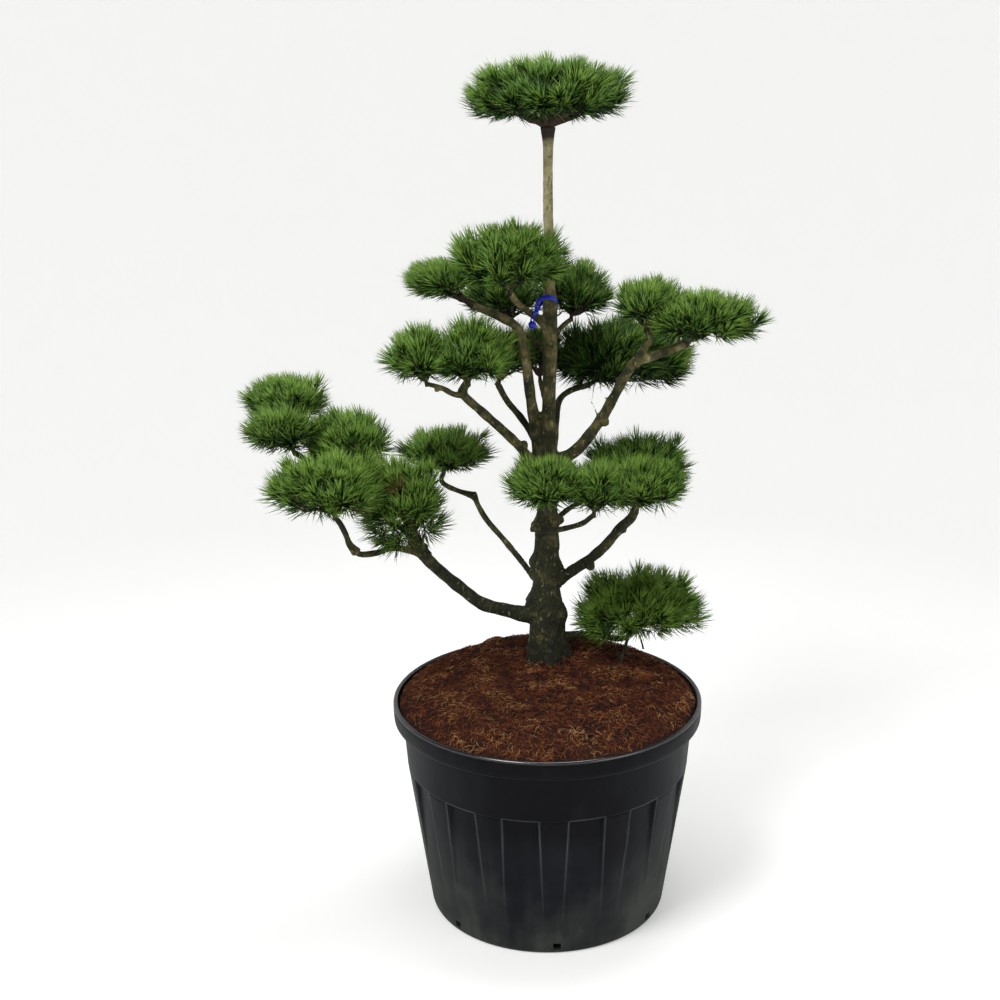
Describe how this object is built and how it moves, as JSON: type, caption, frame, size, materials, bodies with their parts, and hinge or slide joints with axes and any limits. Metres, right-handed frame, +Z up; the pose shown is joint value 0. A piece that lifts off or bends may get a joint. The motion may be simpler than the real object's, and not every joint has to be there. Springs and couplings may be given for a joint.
{
  "type": "potted lodgepole pine, cloud-pruned",
  "caption": "Cloud-pruned lodgepole pine with needle pads on bare boughs, planted in a ribbed black nursery pot topped with coir mulch.",
  "frame": {"origin": "centre of the pot's flat underside, on the ground", "axes": "+Z up the plant; the pictured side faces -Y"},
  "size_m": [1, 0.6766, 1.6781],
  "materials": {
    "pot": "satin moulded, charcoal",
    "mulch": "loose coir fibre",
    "bark": "rough bark",
    "needles": "waxy needles",
    "tie": "soft plastic strap"
  },
  "bodies": {
    "root": {"back_bough": "bark", "back_pad": "needles", "centre_front_bough": "bark", "centre_front_pad": "needles", "centre_middle_bough": "bark", "centre_middle_pad": "needles", "centre_right_bough": "bark", "centre_right_pad": "needles", "far_left_bough": "bark", "far_left_pad": "needles", "far_left_top_bough": "bark", "far_left_top_pad": "needles", "left_front_pad": "needles", "left_inner_pad": "needles", "left_middle_pad": "needles", "left_rear_bough": "bark", "low_left_bough": "bark", "low_left_branch": "bark", "low_left_branch_end": "bark", "low_right_bough": "bark", "low_right_pad": "needles", "mid_back_bough": "bark", "mid_back_pad": "needles", "mid_left_bough": "bark", "mid_left_inner_bough": "bark", "mid_left_inner_pad": "needles", "mid_left_outer_pad": "needles", "mid_left_pad": "needles", "mid_left_side_branch": "bark", "pot": "pot", "right_back_bough": "bark", "right_back_pad": "needles", "right_low_back_bough": "bark", "right_low_back_pad": "needles", "right_upper_bough": "bark", "right_upper_inner_pad": "needles", "right_upper_pad": "needles", "right_upper_side_branch": "bark", "root_ball": "mulch", "second_stem": "bark", "small_left_bough": "bark", "small_left_bough_end": "bark", "small_left_pad": "needles", "tie": "tie", "top_pad": "needles", "trunk": "bark", "upper_back_bough": "bark", "upper_back_pad": "needles", "upper_left_bough": "bark", "upper_left_outer_pad": "needles", "upper_left_pad": "needles", "upper_rear_bough": "bark", "upper_rear_pad": "needles"}
  },
  "joints": []
}
